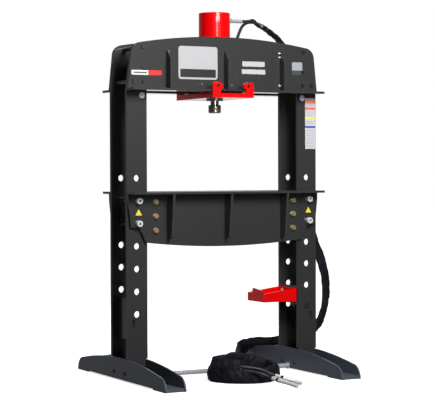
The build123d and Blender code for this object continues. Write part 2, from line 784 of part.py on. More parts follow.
with BuildPart() as cap_fitting:
    with BuildSketch(Plane.YZ.offset(cylinder_diameter / 2 + 0.5)):
        with Locations((0, cap_port_z)):
            RegularPolygon(15, 6)
    extrude(amount=18)
    with BuildSketch(Plane.YZ.offset(port_face_x)):
        with Locations((0, cap_port_z)):
            Circle(port_radius - running_clearance)
    extrude(amount=20)
    with BuildSketch(Plane.YZ.offset(cylinder_diameter / 2 + 18)):
        with Locations((0, cap_port_z)):
            Circle(fitting_radius)
    extrude(amount=cap_fitting_end_x - cylinder_diameter / 2 - 18)
save(cap_fitting.part, "cap_port_fitting")

with BuildPart() as rod_fitting:
    with BuildSketch(Plane.YZ.offset(cylinder_diameter / 2 + 0.5)):
        with Locations((0, rod_port_z)):
            RegularPolygon(14, 6)
    extrude(amount=rod_fitting_x - cylinder_diameter / 2 + 10)
    with BuildSketch(Plane.YZ.offset(port_face_x)):
        with Locations((0, rod_port_z)):
            Circle(port_radius - running_clearance)
    extrude(amount=20)
    with BuildSketch(Plane.XY.offset(rod_port_z)):
        with Locations((rod_fitting_x, 0)):
            Circle(fitting_radius - 1)
    extrude(amount=rod_fitting_top_z - rod_port_z)
save(rod_fitting.part, "rod_port_fitting")


def turn_radii(points):
    """The radius at each inner corner: 0.45 of its shorter run over the tangent of half its turn."""
    radii = []
    for before, corner, after in zip(points, points[1:], points[2:]):
        into = Vector(*corner) - Vector(*before)
        out = Vector(*after) - Vector(*corner)
        half_turn = into.get_angle(out) / 2
        radii.append(0.45 * min(into.length, out.length) / tan(half_turn * pi / 180))
    return radii


def hose_tube(points, diameter, name):
    """A round hose along straight runs joined by tangent arcs."""
    radii = turn_radii(points)
    with BuildLine() as route:
        FilletPolyline(*points, radius=radii)
    with BuildPart() as hose:
        with BuildSketch(Plane(origin=points[0], z_dir=route.line % 0)):
            Circle(diameter / 2)
        sweep(path=route.line)
    length = route.wire().length
    swept = round(length * pi * diameter**2 / 4)
    print(name, "length", round(length), "volume", round(hose.part.volume), "section x length", swept)
    print(name, "bend radii", [round(r) for r in radii])
    save(hose.part, name)


# Both hoses meet above the head, at the upper end of the sleeve.
sleeve_top = (285, 62, 1844)
cap_hose_points = [
    (cap_fitting_end_x, 0, cap_port_z),
    (205, 0, cap_port_z),
    (248, 26, cap_port_z + 16),
    (278, 52, sleeve_top[2] + 2),
]
rod_hose_points = [
    (rod_fitting_x, 0, rod_fitting_top_z),
    (118, 0, 1690),
    (160, 40, 1780),
    (215, 62, 1858),
    (276, 72, sleeve_top[2] + 8),
]
sleeve_points = [
    sleeve_top,
    (345, 80, 1828),
    (455, 108, 1764),
    (545, 160, 1690),
    (600, 232, 1560),
    (609, 238, 1370),
    (612, 236, 1150),
    (660, 236, 860),
    (775, 228, 560),
    (803, 222, 400),
    (760, 222, 250),
    (700, 262, 182),
    (625, 330, 150),
    (535, 400, 138),
    (452, 452, 132),
    (386, 455, 98),
    (345, 395, 58),
    (292, 295, 36),
    (215, 180, 40),
    (140, 70, 62),
    (60, -25, 66),
    (-30, -105, 46),
    (-115, -180, 26),
    (-178, -285, 24),
    (-90, -420, 24),
    (45, -455, 24),
    (160, -360, 24),
    (225, -240, 28),
    (185, -150, 54),
    (85, -165, 80),
    (-25, -200, 84),
    (-122, -238, 80),
    (-184, -312, 78),
    (-75, -411, 76),
]
hose_tube(cap_hose_points, hose_diameter, "cap_hose")
hose_tube(rod_hose_points, hose_diameter, "rod_hose")
hose_tube(sleeve_points, sleeve_diameter, "hose_sleeve")

# Two bare hoses leave the lower end of the sleeve and end in quick couplings on the floor.
coupling_radius = 12.0
coupling_sleeve_length = 34.0
coupling_nut_length = 22.0
tail_offset = 9.0             # either hose above or below the middle of the sleeve
tail_lead = 20.0              # straight run out of the sleeve, and into a coupling
tail_specs = {
    "cap": {"offset": tail_offset, "via": (15, -456, 74), "start": (82, -494, 40), "tip": (166, -604, 11)},
    "rod": {"offset": -tail_offset, "via": (-2, -478, 58), "start": (46, -528, 34), "tip": (92, -690, 11)},
}
sleeve_end = Vector(*sleeve_points[-1])
sleeve_exit = (sleeve_end - Vector(*sleeve_points[-2])).normalized()
for line_name, spec in tail_specs.items():
    coupling_start = Vector(*spec["start"])
    coupling_run = Vector(*spec["tip"]) - coupling_start
    axis = coupling_run.normalized()
    tail_start = sleeve_end + Vector(0, 0, spec["offset"])
    tail_points = [
        tuple(tail_start),
        tuple(tail_start + sleeve_exit * tail_lead),
        spec["via"],
        tuple(coupling_start - axis * tail_lead),
        tuple(coupling_start),
    ]
    hose_tube(tail_points, hose_diameter, f"{line_name}_hose_tail")

    nut_start = coupling_start + axis * coupling_sleeve_length
    nose_start = nut_start + axis * coupling_nut_length
    with BuildPart() as coupling:
        with BuildSketch(Plane(origin=coupling_start, z_dir=axis)):
            Circle(coupling_radius - 1.5)
        extrude(amount=coupling_sleeve_length)
        with BuildSketch(Plane(origin=nut_start, z_dir=axis)):
            RegularPolygon(coupling_radius, 6)
        extrude(amount=coupling_nut_length)
        with BuildSketch(Plane(origin=nose_start, z_dir=axis)):
            Circle(coupling_radius - 2)
        extrude(amount=coupling_run.length - coupling_sleeve_length - coupling_nut_length)
    save(coupling.part, f"{line_name}_coupling")

# ---- accessory holder ---------------------------------------------------------------------

holder_right_x = inner_edge_x - fit_gap
holder_half_depth = inner_face_y + 2.0
holder_mount_thickness = 10.0
holder_mount_bottom_z = holder_bottom_z - 12.0
holder_mount_top_z = holder_bottom_z + holder_right_height + 12.0
holder_bolt_spots = [(y, z) for y in (-55, 55) for z in (holder_bottom_z + 18, holder_bottom_z + 50)]

with BuildLine() as holder_side:
    Polyline(
        (holder_left_x, holder_bottom_z),
        (holder_right_x, holder_bottom_z),
        (holder_right_x, holder_bottom_z + holder_right_height),
        (holder_left_x, holder_bottom_z + holder_left_height),
        close=True,
    )

# Raised lug on the free end: a low hook that leans up towards the rear.
lug_foot_z = holder_bottom_z + holder_left_height - 2 * holder_wall
lug_height = 36.0
holder_lug = [
    (-holder_half_depth + 10, lug_foot_z),
    (-holder_half_depth + 10, lug_foot_z + 0.55 * lug_height),
    (-holder_half_depth + 20, lug_foot_z + 0.7 * lug_height),
    (24, lug_foot_z + lug_height),
    (38, lug_foot_z + 0.85 * lug_height),
    (38, lug_foot_z),
]

with BuildPart() as holder:
    with BuildSketch(xz_plane(holder_half_depth)):
        make_face(holder_side.edges())
    extrude(amount=2 * holder_half_depth)
    with BuildSketch(Plane.XY.offset(holder_bottom_z + holder_wall)):
        with Locations(((holder_left_x + holder_right_x) / 2, 0)):
            Rectangle(
                holder_right_x - holder_left_x - 2 * holder_wall, 2 * (holder_half_depth - holder_wall)
            )
    extrude(amount=2 * holder_right_height, mode=Mode.SUBTRACT)
    with BuildSketch(Plane.YZ.offset(holder_right_x - 2 * holder_wall)):
        with Locations(*holder_bolt_spots):
            Circle(head_bolt_radius + fit_gap)
    extrude(amount=4 * holder_wall, mode=Mode.SUBTRACT)
    with BuildSketch(Plane.YZ.offset(holder_left_x)):
        with BuildLine():
            Polyline(*holder_lug, close=True)
        make_face()
    extrude(amount=holder_wall)
save(holder.part, "accessory_holder")

with BuildPart() as holder_mount:
    with BuildSketch(Plane.YZ.offset(holder_right_x)):
        with Locations((0, (holder_mount_bottom_z + holder_mount_top_z) / 2)):
            Rectangle(2 * (inner_face_y - fit_gap), holder_mount_top_z - holder_mount_bottom_z)
        with Locations(*holder_bolt_spots):
            Circle(head_bolt_radius + fit_gap, mode=Mode.SUBTRACT)
    extrude(amount=holder_mount_thickness)
save(holder_mount.part, "holder_mount_plate")

with BuildPart() as holder_bolts:
    with BuildSketch(Plane.YZ.offset(holder_right_x - holder_wall - bolt_head_height)):
        with Locations(*holder_bolt_spots):
            RegularPolygon(bolt_head_radius, 6)
    extrude(amount=bolt_head_height)
    with BuildSketch(Plane.YZ.offset(holder_right_x - holder_wall)):
        with Locations(*holder_bolt_spots):
            Circle(head_bolt_radius)
    extrude(amount=holder_wall + holder_mount_thickness + bolt_nut_height + 2)
    with BuildSketch(Plane.YZ.offset(holder_right_x + holder_mount_thickness)):
        with Locations(*holder_bolt_spots):
            RegularPolygon(bolt_head_radius, 6)
    extrude(amount=bolt_nut_height)
save(holder_bolts.part, "holder_bolts")
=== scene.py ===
import json
from math import cos, pi, radians, sin

import bmesh
import bpy
from mathutils import Matrix, Vector, noise


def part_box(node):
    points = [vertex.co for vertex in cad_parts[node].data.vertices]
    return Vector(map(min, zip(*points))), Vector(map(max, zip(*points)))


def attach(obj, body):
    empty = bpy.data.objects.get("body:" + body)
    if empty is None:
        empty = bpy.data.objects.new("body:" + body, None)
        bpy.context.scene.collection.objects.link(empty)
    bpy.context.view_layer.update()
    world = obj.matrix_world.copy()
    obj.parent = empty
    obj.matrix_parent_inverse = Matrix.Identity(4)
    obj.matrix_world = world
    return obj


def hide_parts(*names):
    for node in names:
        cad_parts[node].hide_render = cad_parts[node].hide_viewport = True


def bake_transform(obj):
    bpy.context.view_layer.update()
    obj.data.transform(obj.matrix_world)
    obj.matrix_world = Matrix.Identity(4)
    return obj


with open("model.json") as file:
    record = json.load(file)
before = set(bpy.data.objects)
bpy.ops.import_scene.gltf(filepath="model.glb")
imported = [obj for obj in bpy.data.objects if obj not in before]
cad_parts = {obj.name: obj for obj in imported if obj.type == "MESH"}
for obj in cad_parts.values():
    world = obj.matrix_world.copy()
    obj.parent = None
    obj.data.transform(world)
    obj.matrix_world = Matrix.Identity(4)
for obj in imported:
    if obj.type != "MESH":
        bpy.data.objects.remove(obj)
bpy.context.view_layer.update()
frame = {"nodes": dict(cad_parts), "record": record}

# Hydraulic shop press. Metres, +Z up, the origin on the floor between the uprights.


# shader maths

class Wire:
    # one output socket; sums written with it add Math nodes to its tree
    def __init__(self, tree, socket):
        self.tree = tree
        self.socket = socket

    def math(self, operation, first, second):
        step = self.tree.nodes.new("ShaderNodeMath")
        step.operation = operation
        for slot, value in zip(step.inputs, (first, second)):
            if isinstance(value, Wire):
                self.tree.links.new(value.socket, slot)
            else:
                slot.default_value = value
        return Wire(self.tree, step.outputs[0])

    def __add__(self, other):
        return self.math("ADD", self, other)

    def __radd__(self, other):
        return self.math("ADD", other, self)

    def __sub__(self, other):
        return self.math("SUBTRACT", self, other)

    def __rsub__(self, other):
        return self.math("SUBTRACT", other, self)

    def __mul__(self, other):
        return self.math("MULTIPLY", self, other)

    def __rmul__(self, other):
        return self.math("MULTIPLY", other, self)

    def __gt__(self, other):
        return self.math("GREATER_THAN", self, other)

    def __lt__(self, other):
        return self.math("LESS_THAN", self, other)

    def __pow__(self, other):
        return self.math("POWER", self, other)

    def sine(self):
        return self.math("SINE", self, 0)


def rgb(red, green, blue):
    return (red, green, blue, 1.0)


def inBand(value, low, high):
    # 1 between the two limits
    return (value > low) * (value < high)


edgeFinder = {"samples": 4, "flat": 0.02, "sharp": 0.2}


class Finish:
    # a material with one Principled shader, read on Object coordinates
    def __init__(self, name, constants):
        self.material = bpy.data.materials.new(name)
        self.material.use_nodes = True
        self.tree = self.material.node_tree
        self.shader = self.tree.nodes["Principled BSDF"]
        for socket, value in constants.items():
            self.shader.inputs[socket].default_value = value
        self.place = self.node("ShaderNodeTexCoord").outputs["Object"]

    def node(self, kind, settings=None, **sockets):
        # the settings first, then what the sockets hold or are linked to
        made = self.tree.nodes.new(kind)
        for key, value in (settings or {}).items():
            setattr(made, key, value)
        for key, value in sockets.items():
            slot = made.inputs[key] if key in made.inputs else made.inputs[key.replace("_", " ")]
            self.feed(slot, value)
        return made

    def feed(self, slot, value):
        if isinstance(value, Wire):
            self.tree.links.new(value.socket, slot)
        elif isinstance(value, bpy.types.NodeSocket):
            self.tree.links.new(value, slot)
        else:
            slot.default_value = value

    def wire(self, socket):
        return Wire(self.tree, socket)

    def noise(self, scale, stretch=(1, 1, 1), detail=4):
        # soft random values from 0 to 1
        turned = self.node("ShaderNodeMapping", Vector=self.place, Scale=stretch)
        made = self.node("ShaderNodeTexNoise", Vector=turned.outputs[0], Scale=scale, Detail=detail)
        return self.wire(made.outputs["Fac"])

    def band(self, value, low, high):
        # 0 below low, 1 above high, smooth between
        settings = {"interpolation_type": "SMOOTHSTEP"}
        made = self.node("ShaderNodeMapRange", settings, Value=value, From_Min=low, From_Max=high)
        return self.wire(made.outputs[0])

    def axes(self):
        split = self.node("ShaderNodeSeparateXYZ", Vector=self.place)
        return [self.wire(socket) for socket in split.outputs]

    def edges(self, width):
        # 1 along sharp edges, 0 on flats
        bent = self.node("ShaderNodeBevel", {"samples": edgeFinder["samples"]}, Radius=width).outputs[0]
        flat = self.node("ShaderNodeNewGeometry").outputs["Normal"]
        match = self.node("ShaderNodeVectorMath", {"operation": "DOT_PRODUCT"})
        self.tree.links.new(bent, match.inputs[0])
        self.tree.links.new(flat, match.inputs[1])
        return self.band(1 - self.wire(match.outputs["Value"]), edgeFinder["flat"], edgeFinder["sharp"])

    def rubbed(self, settings):
        # patches along sharp edges where the paint is worn
        patches = self.noise(settings["wearScale"])
        return self.edges(settings["wearWidth"]) * self.band(patches, *settings["wearBand"])

    def mix(self, factor, first, second):
        # from the first colour to the second, each a link or its red, green and blue
        made = self.node("ShaderNodeMix", {"data_type": "RGBA"})
        self.feed(made.inputs["Factor"], factor)
        for slot, colour in (("A", first), ("B", second)):
            self.feed(made.inputs[slot], rgb(*colour) if isinstance(colour, tuple) else colour)
        return made.outputs["Result"]

    def colour(self, value):
        self.feed(self.shader.inputs["Base Color"], value)

    def rough(self, value):
        self.feed(self.shader.inputs["Roughness"], value)

    def metal(self, value):
        self.feed(self.shader.inputs["Metallic"], value)

    def coat(self, value):
        self.feed(self.shader.inputs["Coat Weight"], value)

    def bump(self, height, strength, distance):
        made = self.node("ShaderNodeBump", Height=height, Strength=strength, Distance=distance)
        self.tree.links.new(made.outputs[0], self.shader.inputs["Normal"])


# finishes of the frame's own pieces

framePaint = {
    "deep": (0.024, 0.0242, 0.0250), "pale": (0.033, 0.0332, 0.0345), "cloudScale": 2.2,
    "dust": (0.05, 0.05, 0.052), "dustScale": 38, "dustStretch": (1, 1, 0.35), "dustBand": (0.58, 0.82),
    "dusty": 0.16, "scuff": (0.12, 0.12, 0.125), "wearWidth": 0.0016, "wearScale": 60,
    "wearBand": (0.52, 0.66), "worn": 0.7, "roughness": 0.42, "dustRough": 0.14, "cloudRough": 0.05,
    "wearRough": 0.15, "coat": 0.75, "coatLost": 0.7, "peelScale": 420, "peelStrength": 0.1,
    "peelDepth": 0.0002,
}


def paintFrame():
    paint = Finish("framePaint", {"Specular IOR Level": 0.14, "Coat Roughness": 0.035})
    clouds = paint.noise(framePaint["cloudScale"])
    dust = paint.noise(framePaint["dustScale"], framePaint["dustStretch"], detail=5)
    wear = paint.rubbed(framePaint)
    field = paint.mix(clouds, framePaint["deep"], framePaint["pale"])
    settled = paint.band(dust, *framePaint["dustBand"]) * framePaint["dusty"]
    dusty = paint.mix(settled, field, framePaint["dust"])
    paint.colour(paint.mix(wear * framePaint["worn"], dusty, framePaint["scuff"]))
    dull = framePaint["roughness"] + dust * framePaint["dustRough"] - clouds * framePaint["cloudRough"]
    paint.rough(dull + wear * framePaint["wearRough"])
    paint.coat(framePaint["coat"] - wear * framePaint["coatLost"])
    peel = paint.noise(framePaint["peelScale"], detail=2)
    paint.bump(peel, framePaint["peelStrength"], framePaint["peelDepth"])
    return paint.material


footPaint = {
    "deep": (0.060, 0.073, 0.090), "pale": (0.088, 0.104, 0.128), "cloudScale": 3.5,
    "grime": (0.11, 0.105, 0.1), "grimeHeight": 0.03, "grimeScale": 45, "grimeBand": (0.35, 0.7),
    "grimy": 0.45, "scuff": (0.3, 0.3, 0.3), "wearWidth": 0.0015, "wearScale": 70, "wearBand": (0.48, 0.62),
    "worn": 0.8, "roughness": 0.27, "cloudRough": 0.1, "grimeRough": 0.3, "coat": 0.16, "coatLost": 0.12,
    "peelScale": 380, "peelStrength": 0.15, "peelDepth": 0.0002,
}


def paintFeet():
    paint = Finish("footPaint", {"Specular IOR Level": 0.12, "Coat Roughness": 0.08})
    height = paint.axes()[2]
    clouds = paint.noise(footPaint["cloudScale"])
    patches = paint.band(paint.noise(footPaint["grimeScale"], detail=5), *footPaint["grimeBand"])
    grime = (1 - paint.band(height, 0.0, footPaint["grimeHeight"])) * patches
    wear = paint.rubbed(footPaint)
    field = paint.mix(clouds, footPaint["deep"], footPaint["pale"])
    dirty = paint.mix(grime * footPaint["grimy"], field, footPaint["grime"])
    paint.colour(paint.mix(wear * footPaint["worn"], dirty, footPaint["scuff"]))
    paint.rough(footPaint["roughness"] + clouds * footPaint["cloudRough"] + grime * footPaint["grimeRough"])
    paint.coat(footPaint["coat"] - grime * footPaint["coatLost"])
    peel = paint.noise(footPaint["peelScale"], detail=2)
    paint.bump(peel, footPaint["peelStrength"], footPaint["peelDepth"])
    return paint.material


redPaint = {
    "deep": (0.60, 0.0004, 0.001), "bright": (0.80, 0.0008, 0.0015), "cloudScale": 5,
    "scuff": (0.30, 0.012, 0.012), "wearWidth": 0.0014, "wearScale": 85, "wearBand": (0.55, 0.68),
    "worn": 0.6, "roughness": 0.3, "smearScale": 50, "smearRough": 0.12, "coat": 0.6, "coatLost": 0.5,
    "peelScale": 400, "peelStrength": 0.035, "peelDepth": 0.0002,
}


def paintRed():
    paint = Finish("redPaint", {"Specular IOR Level": 0.1, "Coat Roughness": 0.04})
    clouds = paint.noise(redPaint["cloudScale"], detail=3)
    wear = paint.rubbed(redPaint)
    field = paint.mix(clouds, redPaint["deep"], redPaint["bright"])
    paint.colour(paint.mix(wear * redPaint["worn"], field, redPaint["scuff"]))
    paint.rough(redPaint["roughness"] + paint.noise(redPaint["smearScale"]) * redPaint["smearRough"])
    paint.coat(redPaint["coat"] - wear * redPaint["coatLost"])
    peel = paint.noise(redPaint["peelScale"], detail=2)
    paint.bump(peel, redPaint["peelStrength"], redPaint["peelDepth"])
    return paint.material


yellowZinc = {
    "deep": (0.30, 0.21, 0.08), "bright": (0.62, 0.50, 0.24), "stain": (0.20, 0.16, 0.12), "stains": 0.6,
    "blotch": 45, "grain": 600, "stretch": (1, 0.2, 1), "metallic": 0.65, "roughness": 0.22,
}
brightZinc = {
    "deep": (0.42, 0.43, 0.45), "bright": (0.68, 0.69, 0.71), "stain": (0.36, 0.36, 0.37), "stains": 0.4,
    "blotch": 50, "grain": 500, "stretch": (1, 1, 1), "metallic": 0.5, "roughness": 0.18,
}
bareSteel = {
    "deep": (0.20, 0.18, 0.15), "bright": (0.52, 0.46, 0.36), "stain": (0.10, 0.08, 0.05), "stains": 0.5,
    "blotch": 40, "grain": 900, "stretch": (0.15, 0.15, 1), "metallic": 0.9, "roughness": 0.24,
}
chromedRod = {
    "deep": (0.70, 0.70, 0.71), "bright": (0.88, 0.88, 0.89), "stain": (0.5, 0.5, 0.5), "stains": 0.2,
    "blotch": 30, "grain": 1200, "stretch": (0.05, 0.05, 1), "metallic": 1.0, "roughness": 0.07,
}
blackOxide = {
    "deep": (0.010, 0.010, 0.011), "bright": (0.028, 0.028, 0.031), "stain": (0.05, 0.045, 0.04),
    "stains": 0.4, "blotch": 60, "grain": 500, "stretch": (1, 1, 1), "metallic": 0.45, "roughness": 0.3,
}
# what all five have in common; stains are this much finer than the blotches
plated = {
    "stainFiner": 2.3, "stainBand": (0.52, 0.72), "stainMetalLost": 0.25, "stainRough": 0.15,
    "grainRough": 0.16, "grainStrength": 0.2, "grainDepth": 0.0001,
}


def plate(name, settings):
    # plated or machined steel: fine turning lines, blotches and darker marks
    steel = Finish(name, {"Specular IOR Level": 0.5})
    blotch = steel.noise(settings["blotch"])
    grain = steel.noise(settings["grain"], settings["stretch"], detail=3)
    marks = steel.noise(settings["blotch"] * plated["stainFiner"], detail=5)
    stain = steel.band(marks, *plated["stainBand"])
    field = steel.mix(blotch, settings["deep"], settings["bright"])
    steel.colour(steel.mix(stain * settings["stains"], field, settings["stain"]))
    steel.metal(settings["metallic"] - stain * plated["stainMetalLost"])
    steel.rough(settings["roughness"] + grain * plated["grainRough"] + stain * plated["stainRough"])
    steel.bump(grain, plated["grainStrength"], plated["grainDepth"])
    return steel.material


# the near-black centre colour is painted shade in the pin's hole
bedPins = {
    "headDepth": 0.030, "hole": 0.0068, "head": (0.86, 0.86, 0.86), "shaft": (0.16, 0.16, 0.165),
    "dull": (0.34, 0.33, 0.32), "dulled": 0.35, "inside": (0.006, 0.006, 0.006), "blotch": 55,
    "metallic": 0.8, "headLost": 0.55, "holeLost": 0.25, "roughness": 0.2, "blotchRough": 0.15,
    "holeRough": 0.4, "grain": 600, "stretch": (0.2, 1, 0.2), "grainStrength": 0.15, "grainDepth": 0.0001,
}


def pinSteel(name):
    # bright turned head with painted shade in its centre hole, duller shaft
    steel = Finish(name + "_steel", {"Specular IOR Level": 0.5})
    low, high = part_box(name)
    x, y, z = steel.axes()
    aside = x - (low.x + high.x) / 2
    above = z - (low.z + high.z) / 2
    hole = (aside * aside + above * above) ** 0.5 < bedPins["hole"]
    head = y < low.y + bedPins["headDepth"]
    blotch = steel.noise(bedPins["blotch"])
    metal = steel.mix(head, bedPins["shaft"], bedPins["head"])
    worn = steel.mix(blotch * bedPins["dulled"], metal, bedPins["dull"])
    # painted shade: the centre hole is coloured near black
    steel.colour(steel.mix(hole, worn, bedPins["inside"]))
    steel.metal(bedPins["metallic"] - head * bedPins["headLost"] - hole * bedPins["holeLost"])
    steel.rough(bedPins["roughness"] + blotch * bedPins["blotchRough"] + hole * bedPins["holeRough"])
    grain = steel.noise(bedPins["grain"], bedPins["stretch"], detail=3)
    steel.bump(grain, bedPins["grainStrength"], bedPins["grainDepth"])
    return steel.material


couplings = {
    "cap_coupling": {"start": (0.082, -0.494, 0.040), "tip": (0.166, -0.604, 0.011)},
    "rod_coupling": {"start": (0.046, -0.528, 0.034), "tip": (0.092, -0.690, 0.011)},
    "ring": (0.030, 0.043), "ringColour": (0.008, 0.008, 0.008), "knurl": (0.048, 0.105),
    "knurlPitch": 0.0022, "knurlStrength": 0.5, "knurlDepth": 0.0004, "bright": (0.92, 0.92, 0.92),
    "dull": (0.66, 0.66, 0.67), "blotch": 60, "smear": 200, "roughness": 0.16, "smearRough": 0.12,
    "gripRough": 0.12,
}


def couplingSteel(name):
    # bright plug with a black ring and a knurled grip, measured along its own axis
    steel = Finish(name + "_steel", {"Metallic": 0.35})
    start, tip = [Vector(couplings[name][end]) for end in ("start", "tip")]
    axis = (tip - start).normalized()
    x, y, z = steel.axes()
    along = x * axis.x + y * axis.y + z * axis.z - start.dot(axis)
    ring = inBand(along, *couplings["ring"])
    grip = inBand(along, *couplings["knurl"])
    turns = (along * (2 * pi / couplings["knurlPitch"])).sine()
    field = steel.mix(steel.noise(couplings["blotch"]), couplings["bright"], couplings["dull"])
    steel.colour(steel.mix(ring, field, couplings["ringColour"]))
    smeared = couplings["roughness"] + steel.noise(couplings["smear"], detail=3) * couplings["smearRough"]
    steel.rough(smeared + grip * couplings["gripRough"])
    steel.bump(turns * grip, couplings["knurlStrength"], couplings["knurlDepth"])
    return steel.material


rubber = {
    "deep": (0.008, 0.008, 0.009), "pale": (0.022, 0.022, 0.024), "cloudScale": 30, "wrapScale": 300,
    "roughness": 0.42, "wrapRough": 0.18, "wrapStrength": 0.25, "wrapDepth": 0.0003,
}


def coatRubber():
    coat = Finish("hoseRubber", {"Specular IOR Level": 0.45})
    wrap = coat.noise(rubber["wrapScale"], detail=3)
    coat.colour(coat.mix(coat.noise(rubber["cloudScale"]), rubber["deep"], rubber["pale"]))
    coat.rough(rubber["roughness"] + wrap * rubber["wrapRough"])
    coat.bump(wrap, rubber["wrapStrength"], rubber["wrapDepth"])
    return coat.material


rubberBlack = coatRubber()
zincBright = plate("brightZinc", brightZinc)

finishOfSlot = {
    "frame_paint": paintFrame(),
    "foot_paint": paintFeet(),
    "red_paint": paintRed(),
    "yellow_zinc": plate("yellowZinc", yellowZinc),
    "bright_zinc": zincBright,
    "black_oxide": plate("blackOxide", blackOxide),
    "bare_steel": plate("bareSteel", bareSteel),
    "chromed_rod": plate("chromedRod", chromedRod),
    "seal_rubber": rubberBlack,
    "hose_rubber": rubberBlack,
    "sleeve_fabric": rubberBlack,
}
for part in frame["record"]["subparts"]:
    shape = frame["nodes"][part["node"]]
    shape.data.materials.clear()
    shape.data.materials.append(finishOfSlot[part["material_slot"]])
for name, shape in frame["nodes"].items():
    if name.startswith("bed_pin"):
        shape.data.materials[0] = pinSteel(name)
    elif name.endswith("_coupling"):
        shape.data.materials[0] = couplingSteel(name)
print("finishes set")


# camera and light

camera = {
    "place": (-3.7959, -7.3217, 1.0539), "turn": -27.497, "tilt": 88.963, "roll": -0.197,
    "lens": 130.63, "sensor": 36, "reach": 60,
}


def turned(degrees, axis):
    return Matrix.Rotation(radians(degrees), 4, axis)


def setCamera():
    lens = bpy.data.cameras.new("camera")
    lens.lens = camera["lens"]
    lens.sensor_width = camera["sensor"]
    lens.clip_end = camera["reach"]
    stand = bpy.data.objects.new("camera", lens)
    bpy.context.collection.objects.link(stand)
    facing = turned(camera["turn"], "Z") @ turned(camera["tilt"], "X")
    stand.matrix_world = Matrix.Translation(camera["place"]) @ facing @ turned(camera["roll"], "Z")
    bpy.context.scene.camera = stand


# the box behind is for views from the rear, and reflections leave it out
softBoxes = [
    {"name": "keyBox", "place": (-0.1, -2.9, 2.7), "aim": (0, 0, 0.95), "size": (1.3, 1.3), "power": 142},
    {"name": "stripBox", "place": (-0.55, -4.2, 1.75), "aim": (0, 0, 1.6), "size": (0.45, 1.5), "power": 34},
    {"name": "backBox", "place": (-1.6, 4.4, 2.6), "aim": (0, 0, 1.0), "size": (2.0, 2.0), "power": 110,
     "mirrored": False},
    {"name": "topBox", "place": (0.4, 0.8, 4.2), "aim": (0, 0, 1.0), "size": (2.2, 2.2), "power": 42},
]


def setLights():
    for box in softBoxes:
        lamp = bpy.data.lights.new(box["name"], "AREA")
        lamp.shape = "RECTANGLE"
        lamp.size, lamp.size_y = box["size"]
        lamp.energy = box["power"]
        stand = bpy.data.objects.new(box["name"], lamp)
        bpy.context.collection.objects.link(stand)
        aim = Vector(box["aim"]) - Vector(box["place"])
        facing = aim.to_track_quat("-Z", "Y").to_matrix().to_4x4()
        stand.matrix_world = Matrix.Translation(box["place"]) @ facing
        stand.visible_camera = False
        stand.visible_glossy = box.get("mirrored", True)


# the studio's glow by direction: where each part of it starts or ends, and how strong it is
backdrop = {
    "behind": {"way": (0.46, 0.887), "past": 0.86, "under": 0.4, "glow": 1.0},
    "beside": {"way": (-0.46, 0.887), "past": 0.93, "glow": 0.2},
    "right": {"past": 0.75, "glow": 0.05},
    "above": {"past": 0.6, "glow": 0.08},
    "below": {"under": -0.14, "glow": 0.24},
    "elsewhere": 0.02,
}


def setBackdrop():
    # white to the camera, and to all else brightest behind the press and nearly dark to its left
    world = bpy.data.worlds.new("studio")
    bpy.context.scene.world = world
    world.use_nodes = True
    tree = world.node_tree
    lit = tree.nodes["Background"]
    ray = tree.nodes.new("ShaderNodeLightPath")
    where = tree.nodes.new("ShaderNodeTexCoord")
    split = tree.nodes.new("ShaderNodeSeparateXYZ")
    tree.links.new(where.outputs["Generated"], split.inputs[0])
    x, y, z = [Wire(tree, socket) for socket in split.outputs]

    def towards(spot):
        return x * spot["way"][0] + y * spot["way"][1] > spot["past"]

    behind = towards(backdrop["behind"]) * (z < backdrop["behind"]["under"]) * backdrop["behind"]["glow"]
    beside = towards(backdrop["beside"]) * backdrop["beside"]["glow"]
    right = (x > backdrop["right"]["past"]) * backdrop["right"]["glow"]
    above = (z > backdrop["above"]["past"]) * backdrop["above"]["glow"]
    below = (z < backdrop["below"]["under"]) * backdrop["below"]["glow"]
    glow = behind + beside + right + above + below + backdrop["elsewhere"]
    seen = Wire(tree, ray.outputs["Is Camera Ray"])
    strength = seen + (1 - seen) * glow
    tree.links.new(strength.socket, lit.inputs["Strength"])
    lit.inputs["Color"].default_value = rgb(1, 1, 1)


floor = {
    "size": 40.0, "centre": (6.0, 10.0), "colour": (0.9, 0.9, 0.9), "roughness": 0.7,
    "nearGlow": (0.62, 0.62, 0.62), "farGlow": (1, 1, 1), "near": 0.7, "far": 1.9,
}


def setFloor():
    # pale floor whose own glow grows away from the press
    bpy.ops.object.select_all(action="DESELECT")
    bpy.ops.mesh.primitive_plane_add(size=floor["size"], location=(*floor["centre"], 0))
    bpy.ops.object.transform_apply(location=True, rotation=False, scale=False)
    ground = bpy.context.object
    ground.name = "floor"
    ground.visible_diffuse = False
    ground.visible_glossy = False
    cover = Finish("floorCover", {"Base Color": rgb(*floor["colour"]), "Roughness": floor["roughness"],
                                  "Specular IOR Level": 0.1, "Emission Strength": 1.0})
    x, y = cover.axes()[:2]
    away = cover.band((x * x + y * y) ** 0.5, floor["near"], floor["far"])
    cover.feed(cover.shader.inputs["Emission Color"], cover.mix(away, floor["nearGlow"], floor["farGlow"]))
    ground.data.materials.append(cover.material)


setCamera()
setLights()
setBackdrop()
setFloor()
bpy.context.scene.view_settings.view_transform = "Standard"
print("studio set")


# hoses and their fabric sleeve

